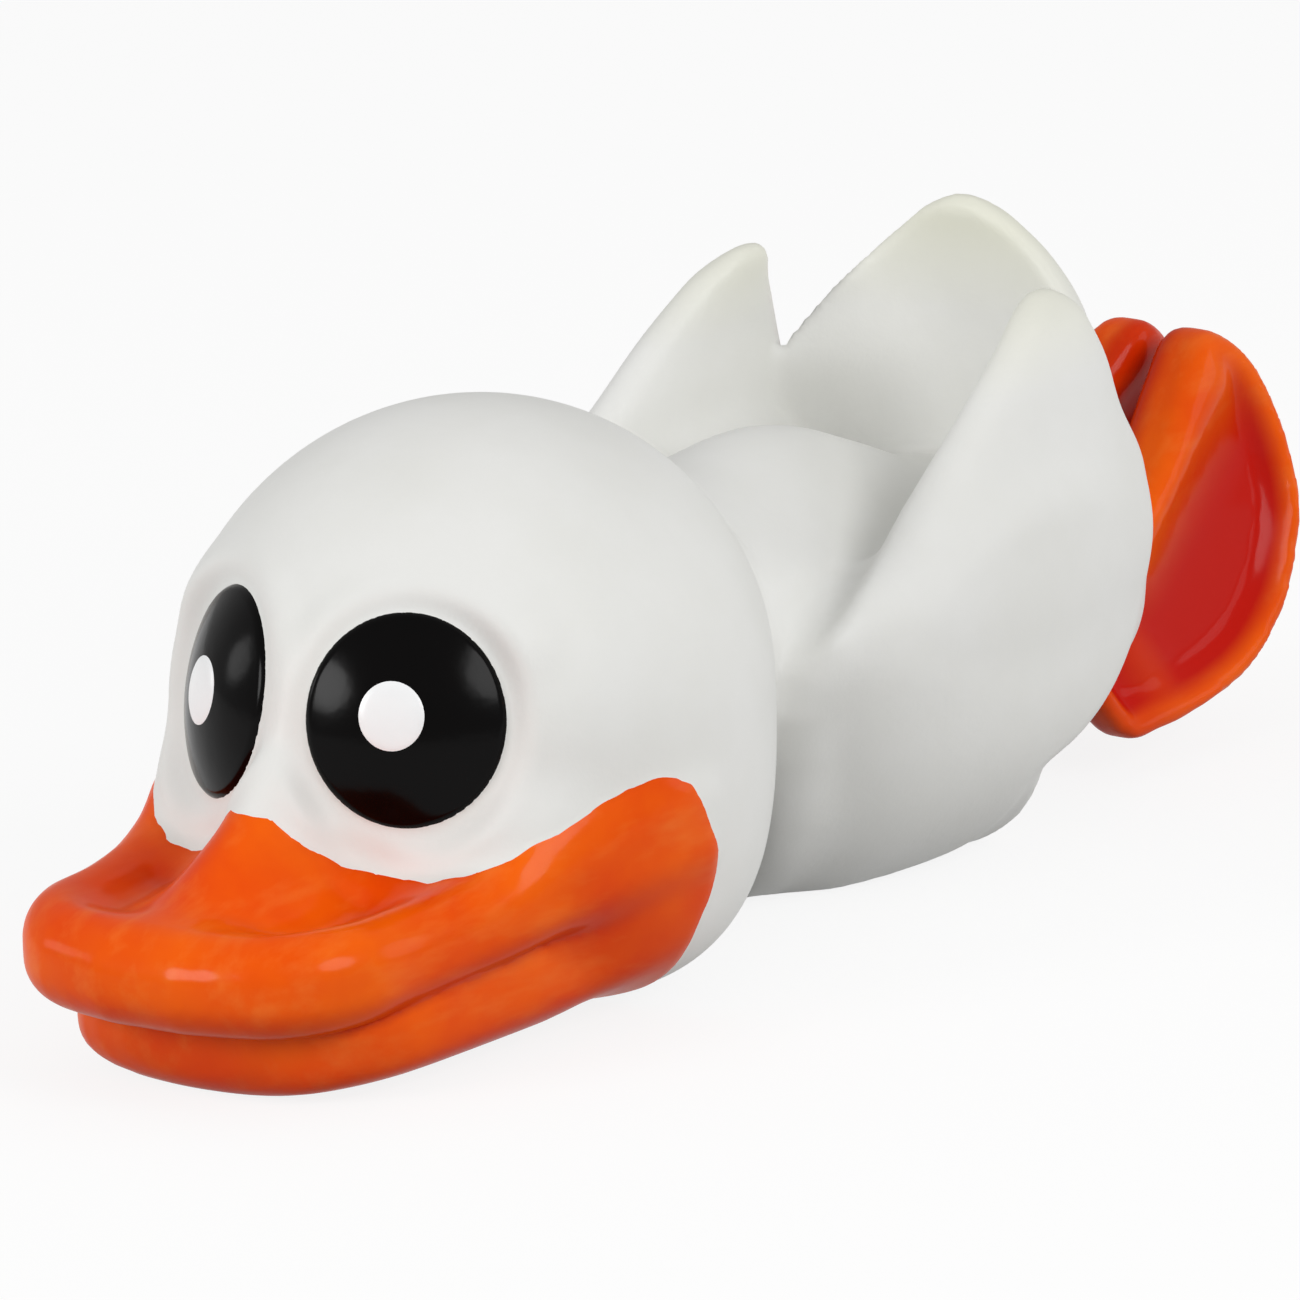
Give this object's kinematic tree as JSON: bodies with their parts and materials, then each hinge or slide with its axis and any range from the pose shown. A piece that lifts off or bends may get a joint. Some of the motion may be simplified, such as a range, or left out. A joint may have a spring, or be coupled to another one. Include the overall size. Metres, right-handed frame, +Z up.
{
  "type": "squeaky duck toy",
  "caption": "Soft moulded duck lying on its belly, with painted bill, eyes and webbed feet, a wadding filling and a reed squeaker in the belly.",
  "frame": {"origin": "middle of the toy's length and width, on the ground that it lies on", "axes": "+Z up, +Y from the bill to the feet, +X to the duck's left side"},
  "size_m": [0.0432, 0.1326, 0.0452],
  "materials": {
    "white_skin": "matte",
    "orange_paint": "glossy",
    "black_paint": "glossy",
    "white_paint": "glossy",
    "wadding": "matte",
    "squeaker_plastic": "satin",
    "reed_film": "glossy"
  },
  "bodies": {
    "duck": {"trunk": "white_skin", "head": "white_skin", "wing_left": "white_skin", "wing_right": "white_skin", "tail": "white_skin", "upper_bill": "orange_paint", "lower_bill": "orange_paint", "eye_left": "black_paint", "eye_right": "black_paint", "eye_dot_left": "white_paint", "eye_dot_right": "white_paint", "foot_left": "orange_paint", "foot_right": "orange_paint", "filling": "wadding", "squeaker_case": "squeaker_plastic", "squeaker_holder": "squeaker_plastic", "squeaker_clamp": "squeaker_plastic"},
    "reed": {"squeaker_reed": "reed_film"}
  },
  "joints": [
    {"name": "reed_swing", "type": "hinge", "parent": "duck", "child": "reed", "pos_m": [0, 0.01635, 0.00975], "axis": [1, 0, 0], "range_deg": [0, 5], "stiffness_Nm_per_rad": 0.00004}
  ]
}
